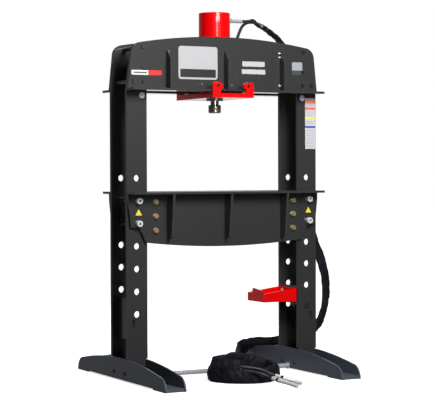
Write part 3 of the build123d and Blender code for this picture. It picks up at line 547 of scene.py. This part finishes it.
hoseDiameter = 0.016
hoses = [
    {"name": "capHose", "node": "cap_hose", "body": "carriage", "length": 0.136, "farEnd": "object",
     "pieces": [],
     "route": [(0.160, 0, 1.848), (0.205, 0, 1.848), (0.248, 0.026, 1.864), (0.278, 0.052, 1.846)]},
    {"name": "rodHose", "node": "rod_hose", "body": "carriage", "length": 0.381, "farEnd": "object",
     "pieces": [],
     "route": [(0.118, 0, 1.568), (0.118, 0, 1.690), (0.160, 0.040, 1.780), (0.215, 0.062, 1.858),
               (0.276, 0.072, 1.852)]},
    {"name": "capTail", "node": "cap_hose_tail", "body": "frame", "length": 0.188, "farEnd": "fitting",
     "pieces": ["cap_coupling"],
     "route": [(-0.075, -0.411, 0.085), (-0.0602, -0.4245, 0.0847), (0.015, -0.456, 0.074),
               (0.0701, -0.4784, 0.0441), (0.082, -0.494, 0.040)]},
    {"name": "rodTail", "node": "rod_hose_tail", "body": "frame", "length": 0.175, "farEnd": "fitting",
     "pieces": ["rod_coupling"],
     "route": [(-0.075, -0.411, 0.067), (-0.0602, -0.4245, 0.0667), (-0.002, -0.478, 0.058),
               (0.0406, -0.5089, 0.0367), (0.046, -0.528, 0.034)]},
]
sleeve = {
    "width": 0.070, "thick": 0.027, "rings": 760, "sides": 32, "rest": 0.0012, "lowerEnd": 0.90,
    "upperEnd": 1.80, "pileFrom": 1.75, "pileFull": 2.25, "pileWidth": 1.14, "pilePuff": 0.25,
    "fold": 0.0028, "pileFold": 0.0062, "narrow": 0.96, "narrowBy": 0.10, "narrowOften": 7,
    "narrowSeed": (3.1, 0), "puffBy": 0.25, "puffOften": 11, "puffSeed": (0.7, 5), "endThick": 0.55,
    "endLength": 0.05, "rounding": 0.8,
}
# folds of the sleeve: how high each kind is, and how often it turns along and across
creases = {
    "rise": 0.55,
    "ridge": {"high": 2.0, "along": 34, "slant": 12, "across": 18, "drift": 0.02, "seed": 9},
    "swell": {"high": 0.7, "along": 16, "across": 30, "seed": 7},
    "wrinkle": {"high": 0.4, "along": 120, "across": 60, "shift": 4, "seed": 2},
}
# route points, each with the way the band's broad side runs there
sleeveRoute = [
    ((0.285, 0.062, 1.844), (0.46, 0.89, 0.1)),
    ((0.345, 0.080, 1.828), (0.46, 0.89, 0.0)),
    ((0.455, 0.108, 1.764), (0.46, 0.89, -0.1)),
    ((0.545, 0.160, 1.690), (0.5, 0.8, -0.1)),
    ((0.600, 0.232, 1.560), (0.7, 0.6, 0.0)),
    ((0.609, 0.238, 1.370), (1.0, 0.2, 0.0)),
    ((0.612, 0.236, 1.150), (0.9, 0.3, 0.0)),
    ((0.660, 0.236, 0.860), (0.9, 0.4, 0.2)),
    ((0.792, 0.228, 0.560), (0.9, 0.4, 0.2)),
    ((0.822, 0.222, 0.390), (0.9, 0.45, 0.0)),
    ((0.780, 0.222, 0.215), (0.8, 0.5, -0.3)),
    ((0.700, 0.262, 0.126), (0.5, 0.85, 0.4)),
    ((0.625, 0.330, 0.113), (0.5, 0.85, 0.5)),
    ((0.535, 0.375, 0.107), (0.4, 0.85, 0.45)),
    ((0.452, 0.425, 0.106), (0.4, 0.8, 0.55)),
    ((0.386, 0.440, 0.074), (0.1, 0.4, 1.0)),
    ((0.345, 0.385, 0.052), (0.1, 0.0, 1.0)),
    ((0.292, 0.295, 0.042), (0.1, 0.1, 1.0)),
    ((0.215, 0.180, 0.044), (0.1, -0.1, 1.0)),
    ((0.140, 0.070, 0.062), (-0.1, 0.1, 1.0)),
    ((0.060, -0.025, 0.068), (0.1, 0.0, 1.0)),
    ((-0.030, -0.105, 0.052), (0.0, -0.1, 1.0)),
    ((-0.115, -0.180, 0.038), (0.1, 0.1, 1.0)),
    ((-0.178, -0.285, 0.038), (0.15, 0.0, 1.0)),
    ((-0.090, -0.420, 0.038), (0.0, 0.2, 1.0)),
    ((0.045, -0.455, 0.038), (-0.1, 0.2, 1.0)),
    ((0.160, -0.360, 0.038), (-0.2, 0.0, 1.0)),
    ((0.225, -0.240, 0.040), (-0.2, 0.0, 1.0)),
    ((0.185, -0.150, 0.056), (0.0, -0.1, 1.0)),
    ((0.085, -0.165, 0.084), (0.1, 0.3, 1.0)),
    ((-0.025, -0.200, 0.090), (0.2, -0.2, 1.0)),
    ((-0.122, -0.238, 0.088), (0.2, 0.3, 1.0)),
    ((-0.184, -0.312, 0.088), (0.25, 0.0, 1.0)),
    ((-0.075, -0.411, 0.080), (0.1, 0.2, 1.0)),
]


def routeCurve(name, points, bevel):
    line = bpy.data.curves.new(name, "CURVE")
    line.dimensions = "3D"
    line.resolution_u = 12
    run = line.splines.new("NURBS")
    run.points.add(len(points) - 1)
    for knot, place in zip(run.points, points):
        knot.co = (*place, 1)
    run.order_u = 3
    run.use_endpoint_u = True
    line.bevel_depth = bevel
    line.bevel_resolution = 6
    line.use_fill_caps = True
    shape = bpy.data.objects.new(name, line)
    bpy.context.collection.objects.link(shape)
    return shape


def routePoints(points):
    # points read along the smooth line through the route
    guide = routeCurve("guide", points, 0)
    made = bpy.data.meshes.new_from_object(guide)
    places = [v.co.copy() for v in made.vertices]
    bpy.data.objects.remove(guide)
    bpy.data.meshes.remove(made)
    return places


def evenly(places, count):
    # the same line in equal steps, and its whole length
    reach = [0.0]
    for before, after in zip(places, places[1:]):
        reach.append(reach[-1] + (after - before).length)
    steps = []
    k = 0
    for i in range(count + 1):
        target = reach[-1] * i / count
        while k < len(places) - 2 and reach[k + 1] < target:
            k += 1
        share = (target - reach[k]) / max(reach[k + 1] - reach[k], 1e-9)
        steps.append(places[k].lerp(places[k + 1], share))
    return steps, reach[-1]


def roundHose(hose):
    tube = routeCurve(hose["name"], hose["route"], hoseDiameter / 2)
    tube.data.materials.append(rubberBlack)
    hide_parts(hose["node"])
    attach(tube, hose["body"])


nylon = {
    "deep": (0.003, 0.003, 0.0042), "pale": (0.007, 0.0068, 0.011), "cloudScale": 9, "roughness": 0.55,
    # the lighter bluish fold colour is painted highlight where folds would catch the light
    "cloudRough": 0.2, "fold": (0.018, 0.0175, 0.030), "foldScale": 26, "foldStretch": (1, 1, 0.6),
    "foldBand": (0.3, 0.75), "foldSheen": 0.5, "highlightStreak": (0.11, 0.11, 0.16), "streakScale": 75,
    # the pale streak colour is painted highlight near the band's upper end
    "streakStretch": (0.35, 1, 1), "streakBand": (0.56, 0.66), "streakEnd": (0.16, 0.30), "highlighted": 0.55,
    "tag": (0.30, 0.30, 0.31), "tagBand": (0.006, 0.020), "tagged": 0.7, "weave": 2200, "weaveHigh": 0.5,
    "crumpleScale": 90, "crumpleHigh": 1.2, "bumpStrength": 0.35, "bumpDepth": 0.0008,
}


def bandFinish():
    # woven nylon on the band's own map, in metres along and across it; painted highlight streaks and a tag
    # near the upper end
    cloth = Finish("sleeveNylon", {"Specular IOR Level": 0.16})
    uv = cloth.node("ShaderNodeUVMap", {"uv_map": "weave"}).outputs[0]
    split = cloth.node("ShaderNodeSeparateXYZ", Vector=uv)
    along, across = [cloth.wire(socket) for socket in split.outputs][:2]
    weave = (along * nylon["weave"]).sine() * (across * nylon["weave"]).sine()
    clouds = cloth.noise(nylon["cloudScale"])
    # painted highlight: lighter bluish patches standing for lit folds
    fold = cloth.band(cloth.noise(nylon["foldScale"], nylon["foldStretch"]), *nylon["foldBand"])
    base = cloth.mix(clouds, nylon["deep"], nylon["pale"])
    foldSheen = cloth.mix(fold * nylon["foldSheen"], base, nylon["fold"])
    # painted highlights: pale bluish streaks near the upper end
    thin = cloth.noise(nylon["streakScale"], nylon["streakStretch"], detail=3)
    lines = cloth.band(thin, *nylon["streakBand"])
    highlightStreak = lines * (1 - cloth.band(along, *nylon["streakEnd"]))
    highlighted = cloth.mix(highlightStreak * nylon["highlighted"], foldSheen, nylon["highlightStreak"])
    tag = inBand(along, *nylon["tagBand"])
    cloth.colour(cloth.mix(tag * nylon["tagged"], highlighted, nylon["tag"]))
    cloth.rough(nylon["roughness"] + clouds * nylon["cloudRough"])
    crumple = cloth.noise(nylon["crumpleScale"]) * nylon["crumpleHigh"]
    cloth.bump(weave * nylon["weaveHigh"] + crumple, nylon["bumpStrength"], nylon["bumpDepth"])
    return cloth.material


def within(value):
    return min(max(value, 0), 1)


def ripple(along, across, seed):
    # soft random value from -1 to 1
    return noise.noise(Vector((along, across, seed)))


def creaseAt(gone, across, j):
    # how far the folds lift the surface here, as a share of their depth
    ridge, swell, wrinkle = creases["ridge"], creases["swell"], creases["wrinkle"]
    slanted = gone * ridge["along"] + across * ridge["slant"]
    ridges = ripple(slanted, across * ridge["across"], j * ridge["drift"] + ridge["seed"])
    swells = ripple(gone * swell["along"], across * swell["across"], swell["seed"])
    shifted = across * wrinkle["across"] + wrinkle["shift"]
    wrinkles = ripple(gone * wrinkle["along"], shifted, wrinkle["seed"])
    high = creases["rise"] - ridge["high"] * abs(ridges)
    return high + swell["high"] * swells + wrinkle["high"] * wrinkles


def sleeveWays(places):
    # at each place the ways of the broad and the thin side, turned smoothly between the route's points
    knots = [Vector(place) for place, way in sleeveRoute]
    given = [Vector(way).normalized() for place, way in sleeveRoute]
    spots = [min(range(len(places)), key=lambda i: (places[i] - knot).length) for knot in knots]
    spots[0] = 0
    spots[-1] = len(places) - 1
    ways = []
    k = 0
    for i in range(len(places)):
        while k < len(spots) - 2 and i > spots[k + 1]:
            k += 1
        share = within((i - spots[k]) / max(spots[k + 1] - spots[k], 1))
        way = given[k].lerp(given[k + 1], share * share * (3 - 2 * share))
        ahead = (places[min(i + 1, len(places) - 1)] - places[max(i - 1, 0)]).normalized()
        way = (way - ahead * way.dot(ahead)).normalized()
        ways.append((way, ahead.cross(way)))
    return ways


def sleeveRing(place, way, side, gone, total):
    # one loop of points: thinner at both ends, wider and fuller in the pile on the floor
    heap = within((gone - sleeve["pileFrom"]) / (sleeve["pileFull"] - sleeve["pileFrom"]))
    drawn = sleeve["narrowBy"] * ripple(gone * sleeve["narrowOften"], *sleeve["narrowSeed"])
    pinch = (sleeve["narrow"] - drawn) * (1 + (sleeve["pileWidth"] - 1) * heap)
    blown = sleeve["puffBy"] * ripple(gone * sleeve["puffOften"], *sleeve["puffSeed"])
    puff = 1 + blown + sleeve["pilePuff"] * heap
    ends = min(1, sleeve["endThick"] + min(gone, total - gone) / sleeve["endLength"])
    depth = sleeve["fold"] + (sleeve["pileFold"] - sleeve["fold"]) * heap
    ring = []
    for j in range(sleeve["sides"]):
        angle = 2 * pi * j / sleeve["sides"]
        across = sleeve["width"] / 2 * pinch * cos(angle)
        upper = 1 if sin(angle) > 0 else -1
        lift = sleeve["thick"] / 2 * puff * ends * (abs(sin(angle)) ** sleeve["rounding"]) * upper
        spot = place + way * across + side * (lift + creaseAt(gone, across, j) * depth * ends)
        spot.z = max(spot.z, sleeve["rest"])
        ring.append(spot)
    return ring


def skinned(name, rings):
    # a closed tube through the rings
    sides = len(rings[0])
    last = (len(rings) - 1) * sides
    faces = []
    for here in range(0, last, sides):
        for j in range(sides):
            after = (j + 1) % sides
            faces.append((here + j, here + after, here + sides + after, here + sides + j))
    faces.append(tuple(range(sides - 1, -1, -1)))
    faces.append(tuple(last + j for j in range(sides)))
    mesh = bpy.data.meshes.new(name)
    mesh.from_pydata([spot for ring in rings for spot in ring], [], faces)
    mesh.polygons.foreach_set("use_smooth", [True] * len(mesh.polygons))
    return mesh


def sleeveBand():
    places, total = evenly(routePoints([place for place, way in sleeveRoute]), sleeve["rings"])
    reach = [total * i / sleeve["rings"] for i in range(len(places))]
    rings = []
    for place, (way, side), gone in zip(places, sleeveWays(places), reach):
        rings.append(sleeveRing(place, way, side, gone, total))
    mesh = skinned("sleeveBand", rings)
    # the map runs along the band, and once round it in about twice its width
    weave = mesh.uv_layers.new(name="weave")
    for corner in mesh.loops:
        i, j = divmod(corner.vertex_index, sleeve["sides"])
        weave.data[corner.index].uv = (reach[i], sleeve["width"] * 2 * j / sleeve["sides"])
    band = bpy.data.objects.new("sleeveBand", mesh)
    bpy.context.collection.objects.link(band)
    mesh.materials.append(bandFinish())
    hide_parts("hose_sleeve")
    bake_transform(band)
    print("sleeve", round(total, 3))


sleeveBand()
for hose in hoses:
    roundHose(hose)
print("hoses laid")


# small fittings and plain printed plates

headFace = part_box("head_front_plate")[0].y
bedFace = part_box("bed_front_plate")[0].y
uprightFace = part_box("right_front_upright")[0].y

labels = {
    "badgePlate": {"x": (-0.268, -0.045), "z": (1.529, 1.697), "face": headFace, "corner": 0.014},
    "stripLabel": {"x": (-0.530, -0.364), "z": (1.5445, 1.5685), "face": headFace, "corner": 0.005},
    "upperBar": {"x": (0.100, 0.232), "z": (1.603, 1.629), "face": headFace, "corner": 0.004},
    "lowerBar": {"x": (0.097, 0.236), "z": (1.564, 1.588), "face": headFace, "corner": 0.003},
    "sideLabel": {"x": (0.397, 0.460), "z": (1.566, 1.633), "face": headFace, "corner": 0.008},
    "tallLabel": {"x": (0.486, 0.549), "z": (1.177, 1.447), "face": uprightFace, "corner": 0.003},
}
sheets = {
    "thick": 0.0008, "wearScale": 70, "wearBand": (0.5, 0.8), "faded": 0.2, "wornTone": 0.75,
    "roughness": 0.35, "wearRough": 0.2, "grainScale": 500, "grainStrength": 0.1, "grainDepth": 0.0001,
}


def printed(name, base, roughness=sheets["roughness"]):
    # a lightly worn printed sheet, and its base colour to print on
    sheet = Finish(name, {"Specular IOR Level": 0.4})
    wear = sheet.noise(sheets["wearScale"])
    sheet.rough(roughness + wear * sheets["wearRough"])
    grain = sheet.noise(sheets["grainScale"], detail=2)
    sheet.bump(grain, sheets["grainStrength"], sheets["grainDepth"])
    faded = sheet.band(wear, *sheets["wearBand"]) * sheets["faded"]
    return sheet, sheet.mix(faded, base, tuple(tone * sheets["wornTone"] for tone in base))


def plainPrint(name, base):
    sheet, field = printed(name, base)
    sheet.colour(field)
    return sheet.material


def sizesOf(name):
    return *labels[name]["x"], *labels[name]["z"]


badge = {"base": (0.40, 0.40, 0.41), "band": (0.012, 0.012, 0.013), "margin": 0.010, "bandTop": 0.052,
         "roughness": 0.3}


def printBadge():
    # pale with a dark band along its foot
    sheet, field = printed("badgePrint", badge["base"], badge["roughness"])
    x, _, z = sheet.axes()
    left, right, low, high = sizesOf("badgePlate")
    margin = badge["margin"]
    dark = inBand(z, low + margin, low + badge["bandTop"]) * inBand(x, left + margin, right - margin)
    sheet.colour(sheet.mix(dark, field, badge["band"]))
    return sheet.material


strip = {"base": (0.62, 0.62, 0.62), "red": (0.75, 0.008, 0.012), "bar": (0.02, 0.02, 0.02), "split": 0.56,
         "barInset": 0.009, "barStart": 0.012, "barGap": 0.008}


def printStrip():
    # pale with a dark bar on the left, red on the right
    sheet, field = printed("stripPrint", strip["base"])
    x, _, z = sheet.axes()
    left, right, low, high = sizesOf("stripLabel")
    middle = left + (right - left) * strip["split"]
    tall = inBand(z, low + strip["barInset"], high - strip["barInset"])
    bar = tall * inBand(x, left + strip["barStart"], middle - strip["barGap"])
    sheet.colour(sheet.mix(x > middle, sheet.mix(bar, field, strip["bar"]), strip["red"]))
    return sheet.material


sideLabel = {"base": (0.30, 0.31, 0.34), "foot": (0.05, 0.053, 0.06), "footHeight": 0.024}


def printSide():
    sheet, field = printed("sidePrint", sideLabel["base"])
    z = sheet.axes()[2]
    low = labels["sideLabel"]["z"][0]
    sheet.colour(sheet.mix(z < low + sideLabel["footHeight"], field, sideLabel["foot"]))
    return sheet.material


# heights above the label's foot: coloured bands, and grey lines that stand for words
tallLabel = {
    "base": (0.50, 0.50, 0.54),
    "bands": [(0.240, 0.262, (0.80, 0.22, 0.15)), (0.208, 0.220, (0.72, 0.12, 0.06)),
              (0.158, 0.168, (0.80, 0.66, 0.05)), (0.112, 0.121, (0.03, 0.04, 0.30))],
    "rows": (0.228, 0.196, 0.186, 0.176, 0.146, 0.136, 0.098, 0.084, 0.070, 0.056, 0.042, 0.028, 0.014),
    "row": (0.3, 0.3, 0.32), "rowHalf": 0.0018, "leftMargin": 0.006, "rightMargin": 0.010, "rowInk": 0.6,
}


def printTall():
    sheet, field = printed("tallPrint", tallLabel["base"])
    x, _, z = sheet.axes()
    left, right, low, high = sizesOf("tallLabel")
    for bottom, top, tone in tallLabel["bands"]:
        field = sheet.mix(inBand(z, low + bottom, low + top), field, tone)
    half = tallLabel["rowHalf"]
    for row in tallLabel["rows"]:
        line = inBand(z, low + row - half, low + row + half)
        line *= inBand(x, left + tallLabel["leftMargin"], right - tallLabel["rightMargin"])
        field = sheet.mix(line * tallLabel["rowInk"], field, tallLabel["row"])
    sheet.colour(field)
    return sheet.material


# how nearly an edge or a face has to point a way to be chosen
nearly = 0.9


def roundOff(piece, width, segments):
    # rounds the edges that run front to back
    bpy.ops.object.mode_set(mode="EDIT")
    bpy.ops.mesh.select_mode(type="EDGE")
    bpy.ops.mesh.select_all(action="DESELECT")
    shape = bmesh.from_edit_mesh(piece.data)
    for edge in shape.edges:
        way = edge.verts[0].co - edge.verts[1].co
        edge.select_set(abs(way.y) > nearly * way.length)
    bmesh.update_edit_mesh(piece.data)
    bpy.ops.mesh.bevel(offset=width, segments=segments, affect="EDGES")
    bpy.ops.object.mode_set(mode="OBJECT")


def laid(piece, name, finish):
    piece.name = name
    piece.data.materials.append(finish)
    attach(piece, "frame")


def printedPlate(name, finish):
    face, thick = labels[name]["face"], sheets["thick"]
    left, right, low, high = sizesOf(name)
    bpy.ops.object.select_all(action="DESELECT")
    middle = ((left + right) / 2, face - thick / 2, (low + high) / 2)
    bpy.ops.mesh.primitive_cube_add(size=1, location=middle, scale=(right - left, thick, high - low))
    bpy.ops.object.transform_apply(location=True, rotation=True, scale=True)
    piece = bpy.context.object
    roundOff(piece, labels[name]["corner"], segments=5)
    laid(piece, name, finish)


bars = {"base": (0.45, 0.45, 0.44)}
barPrint = plainPrint("barPrint", bars["base"])
printedPlate("badgePlate", printBadge())
printedPlate("stripLabel", printStrip())
printedPlate("upperBar", barPrint)
printedPlate("lowerBar", barPrint)
printedPlate("sideLabel", printSide())
printedPlate("tallLabel", printTall())


def onFace(place, face, radius, thick, corners):
    # a flat prism standing out of a front face, its place given across and up
    bpy.ops.object.select_all(action="DESELECT")
    bpy.ops.mesh.primitive_cylinder_add(vertices=corners, radius=radius, depth=thick,
                                        location=(place[0], face - thick / 2, place[1]),
                                        rotation=(pi / 2, 0, 0))
    bpy.ops.object.transform_apply(location=True, rotation=True, scale=True)
    return bpy.context.object


dots = {"places": [(-0.465, 1.444), (0.468, 1.446)], "radius": 0.016, "corners": 40,
        "base": (0.50, 0.52, 0.74)}
triangles = {"places": [(-0.494, 0.850), (0.494, 0.850)], "radius": 0.021, "corners": 3,
             "corner": 0.003, "base": (0.80, 0.60, 0.03)}

dotPrint = plainPrint("dotPrint", dots["base"])
for k, place in enumerate(dots["places"]):
    dot = onFace(place, uprightFace, dots["radius"], sheets["thick"], dots["corners"])
    laid(dot, f"roundLabel{k + 1}", dotPrint)

trianglePrint = plainPrint("trianglePrint", triangles["base"])
for k, place in enumerate(triangles["places"]):
    triangle = onFace(place, bedFace, triangles["radius"], sheets["thick"], triangles["corners"])
    roundOff(triangle, triangles["corner"], segments=3)
    laid(triangle, f"triangleLabel{k + 1}", trianglePrint)
print("plates laid")

screws = {"places": [(0.319, 1.677), (0.319, 1.656), (0.319, 1.507)], "radius": 0.0055, "height": 0.006,
          "corners": 24, "wall": 0.0022, "socket": 0.003, "round": 0.0006}


def softened(piece, width):
    # fine rounding of every sharp edge, applied
    edge = piece.modifiers.new("round", "BEVEL")
    edge.width = width
    edge.segments = 2
    edge.limit_method = "ANGLE"
    bpy.ops.object.modifier_apply(modifier=edge.name)


def capScrew(name, place):
    # a socket head standing on the head's front plate
    piece = onFace(place, headFace, screws["radius"], screws["height"], screws["corners"])
    bpy.ops.object.mode_set(mode="EDIT")
    bpy.ops.mesh.select_mode(type="FACE")
    bpy.ops.mesh.select_all(action="DESELECT")
    shape = bmesh.from_edit_mesh(piece.data)
    for face in shape.faces:
        face.select_set(face.normal.y < -nearly)
    bmesh.update_edit_mesh(piece.data)
    bpy.ops.mesh.inset(thickness=screws["wall"])
    bpy.ops.mesh.extrude_region_move(TRANSFORM_OT_translate={"value": (0, screws["socket"], 0)})
    bpy.ops.object.mode_set(mode="OBJECT")
    softened(piece, screws["round"])
    laid(piece, name, zincBright)


for k, place in enumerate(screws["places"]):
    capScrew(f"ribScrew{k + 1}", place)
print("screws set")
